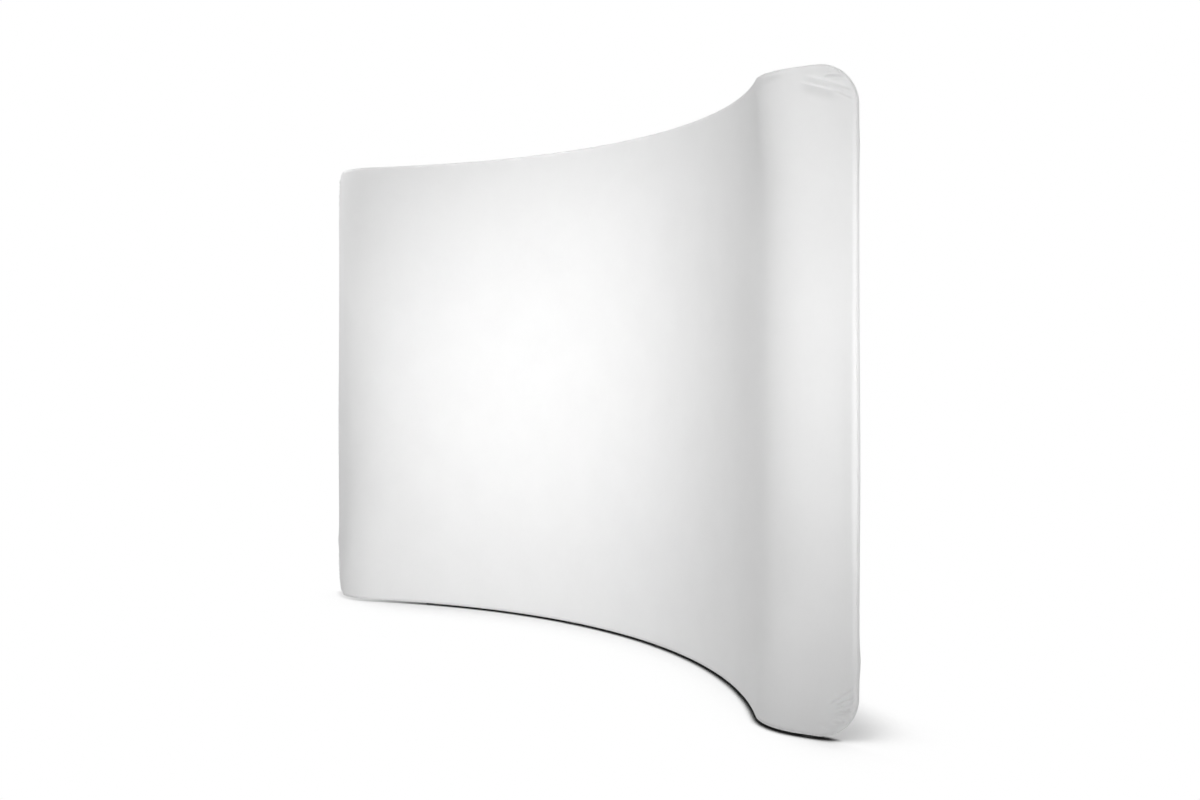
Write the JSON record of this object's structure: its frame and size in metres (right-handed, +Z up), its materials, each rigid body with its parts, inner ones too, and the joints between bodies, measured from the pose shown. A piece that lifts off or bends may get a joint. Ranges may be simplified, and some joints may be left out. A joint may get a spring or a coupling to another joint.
{
  "type": "fabric display backwall",
  "caption": "Curved free-standing display wall: a zipped white fabric cover pulled taut over a push-button frame of bent tubes, with outward flared ends and rounded corners.",
  "frame": {"origin": "on the floor under the middle of the overall box", "axes": "+X to the right end as seen from the front, +Y to the back, +Z up; the hollow side of the curve faces -Y"},
  "size_m": [3.7034, 0.5861, 2.2601],
  "materials": {
    "tube": "satin, drawn tube",
    "spigot": "satin, turned",
    "spring_steel": "bare spring steel",
    "front_fabric": "taut knitted polyester, white",
    "back_fabric": "taut knitted polyester, white",
    "seam_thread": "overlocked edge seam",
    "zip_tape": "woven tape",
    "zip_coil": "nylon coil",
    "zip_metal": "nickel plated",
    "glide_rubber": "moulded rubber",
    "screw_steel": "zinc plated"
  },
  "bodies": {
    "wall": {"rail_bottom_left": "tube", "rail_bottom_centre": "tube", "rail_bottom_right": "tube", "rail_top_left": "tube", "rail_top_centre": "tube", "rail_top_right": "tube", "corner_bottom_left": "tube", "corner_bottom_right": "tube", "corner_top_left": "tube", "corner_top_right": "tube", "upright_left_lower": "tube", "upright_left_upper": "tube", "upright_right_lower": "tube", "upright_right_upper": "tube", "post_left_lower": "tube", "post_left_upper": "tube", "post_right_lower": "tube", "post_right_upper": "tube", "rail_spigots": "spigot", "upright_spigots": "spigot", "post_spigots": "spigot", "post_stubs": "spigot", "spigot_rivets": "spigot", "spring_clips": "spring_steel", "front_panel": "front_fabric", "back_panel": "back_fabric", "edge_seam": "seam_thread", "zip_tapes": "zip_tape", "zip_coils": "zip_coil", "zip_stops": "zip_metal", "glides": "glide_rubber", "glide_screws": "screw_steel", "glide_nuts": "screw_steel"},
    "button_bottom_1": {"button_bottom_1": "spring_steel"},
    "button_bottom_2": {"button_bottom_2": "spring_steel"},
    "button_bottom_3": {"button_bottom_3": "spring_steel"},
    "button_bottom_4": {"button_bottom_4": "spring_steel"},
    "button_top_1": {"button_top_1": "spring_steel"},
    "button_top_2": {"button_top_2": "spring_steel"},
    "button_top_3": {"button_top_3": "spring_steel"},
    "button_top_4": {"button_top_4": "spring_steel"},
    "button_right_low": {"button_right_low": "spring_steel"},
    "button_right_mid": {"button_right_mid": "spring_steel"},
    "button_right_high": {"button_right_high": "spring_steel"},
    "button_left_low": {"button_left_low": "spring_steel"},
    "button_left_mid": {"button_left_mid": "spring_steel"},
    "button_left_high": {"button_left_high": "spring_steel"},
    "button_post_right": {"button_post_right": "spring_steel"},
    "button_post_left": {"button_post_left": "spring_steel"},
    "zip_slider": {"zip_slider": "zip_metal"},
    "zip_pull": {"zip_pull": "zip_metal"}
  },
  "joints": [
    {"name": "press_bottom_1", "type": "hinge", "parent": "wall", "child": "button_bottom_1", "pos_m": [-1.33867, -0.15587, 0.0346], "axis": [0.5977, -0.8017, 0], "range_deg": [0, 5.5], "stiffness_Nm_per_rad": 4.7, "springref_deg": -2.86},
    {"name": "press_bottom_2", "type": "hinge", "parent": "wall", "child": "button_bottom_2", "pos_m": [-0.46177, 0.22693, 0.0346], "axis": [0.2199, -0.9755, 0], "range_deg": [0, 5.5], "stiffness_Nm_per_rad": 4.7, "springref_deg": -2.86},
    {"name": "press_bottom_3", "type": "hinge", "parent": "wall", "child": "button_bottom_3", "pos_m": [0.46177, 0.22693, 0.0346], "axis": [0.2199, 0.9755, 0], "range_deg": [0, 5.5], "stiffness_Nm_per_rad": 4.7, "springref_deg": -2.86},
    {"name": "press_bottom_4", "type": "hinge", "parent": "wall", "child": "button_bottom_4", "pos_m": [1.33867, -0.15587, 0.0346], "axis": [0.5977, 0.8017, 0], "range_deg": [0, 5.5], "stiffness_Nm_per_rad": 4.7, "springref_deg": -2.86},
    {"name": "press_top_1", "type": "hinge", "parent": "wall", "child": "button_top_1", "pos_m": [-1.33867, -0.15587, 2.2314], "axis": [-0.5977, 0.8017, 0], "range_deg": [0, 5.5], "stiffness_Nm_per_rad": 4.7, "springref_deg": -2.86},
    {"name": "press_top_2", "type": "hinge", "parent": "wall", "child": "button_top_2", "pos_m": [-0.46177, 0.22693, 2.2314], "axis": [-0.2199, 0.9755, 0], "range_deg": [0, 5.5], "stiffness_Nm_per_rad": 4.7, "springref_deg": -2.86},
    {"name": "press_top_3", "type": "hinge", "parent": "wall", "child": "button_top_3", "pos_m": [0.46177, 0.22693, 2.2314], "axis": [-0.2199, -0.9755, 0], "range_deg": [0, 5.5], "stiffness_Nm_per_rad": 4.7, "springref_deg": -2.86},
    {"name": "press_top_4", "type": "hinge", "parent": "wall", "child": "button_top_4", "pos_m": [1.33867, -0.15587, 2.2314], "axis": [-0.5977, -0.8017, 0], "range_deg": [0, 5.5], "stiffness_Nm_per_rad": 4.7, "springref_deg": -2.86},
    {"name": "press_right_low", "type": "hinge", "parent": "wall", "child": "button_right_low", "pos_m": [1.82396, -0.19142, 0.2786], "axis": [-0.3746, 0.9272, 0], "range_deg": [0, 5.5], "stiffness_Nm_per_rad": 4.7, "springref_deg": -2.86},
    {"name": "press_right_mid", "type": "hinge", "parent": "wall", "child": "button_right_mid", "pos_m": [1.82396, -0.19142, 1.116], "axis": [-0.3746, 0.9272, 0], "range_deg": [0, 5.5], "stiffness_Nm_per_rad": 4.7, "springref_deg": -2.86},
    {"name": "press_right_high", "type": "hinge", "parent": "wall", "child": "button_right_high", "pos_m": [1.82396, -0.19142, 1.9874], "axis": [0.3746, -0.9272, 0], "range_deg": [0, 5.5], "stiffness_Nm_per_rad": 4.7, "springref_deg": -2.86},
    {"name": "press_left_low", "type": "hinge", "parent": "wall", "child": "button_left_low", "pos_m": [-1.82396, -0.19142, 0.2786], "axis": [-0.3746, -0.9272, 0], "range_deg": [0, 5.5], "stiffness_Nm_per_rad": 4.7, "springref_deg": -2.86},
    {"name": "press_left_mid", "type": "hinge", "parent": "wall", "child": "button_left_mid", "pos_m": [-1.82396, -0.19142, 1.116], "axis": [-0.3746, -0.9272, 0], "range_deg": [0, 5.5], "stiffness_Nm_per_rad": 4.7, "springref_deg": -2.86},
    {"name": "press_left_high", "type": "hinge", "parent": "wall", "child": "button_left_high", "pos_m": [-1.82396, -0.19142, 1.9874], "axis": [0.3746, 0.9272, 0], "range_deg": [0, 5.5], "stiffness_Nm_per_rad": 4.7, "springref_deg": -2.86},
    {"name": "press_post_right", "type": "hinge", "parent": "wall", "child": "button_post_right", "pos_m": [0.58466, 0.19778, 1.116], "axis": [0.2588, 0.9659, 0], "range_deg": [0, 5.5], "stiffness_Nm_per_rad": 4.7, "springref_deg": -2.86},
    {"name": "press_post_left", "type": "hinge", "parent": "wall", "child": "button_post_left", "pos_m": [-0.58466, 0.19778, 1.116], "axis": [0.2588, -0.9659, 0], "range_deg": [0, 5.5], "stiffness_Nm_per_rad": 4.7, "springref_deg": -2.86},
    {"name": "zip_run", "type": "hinge", "parent": "wall", "child": "zip_slider", "pos_m": [0, -2.02669, 0.075], "axis": [0, 0, 1], "range_deg": [0, 67.62]},
    {"name": "pull_swing", "type": "hinge", "parent": "zip_slider", "child": "zip_pull", "pos_m": [1.29261, -0.09714, 0.075], "axis": [0.8308, -0.5566, 0], "range_deg": [0, 170]}
  ]
}
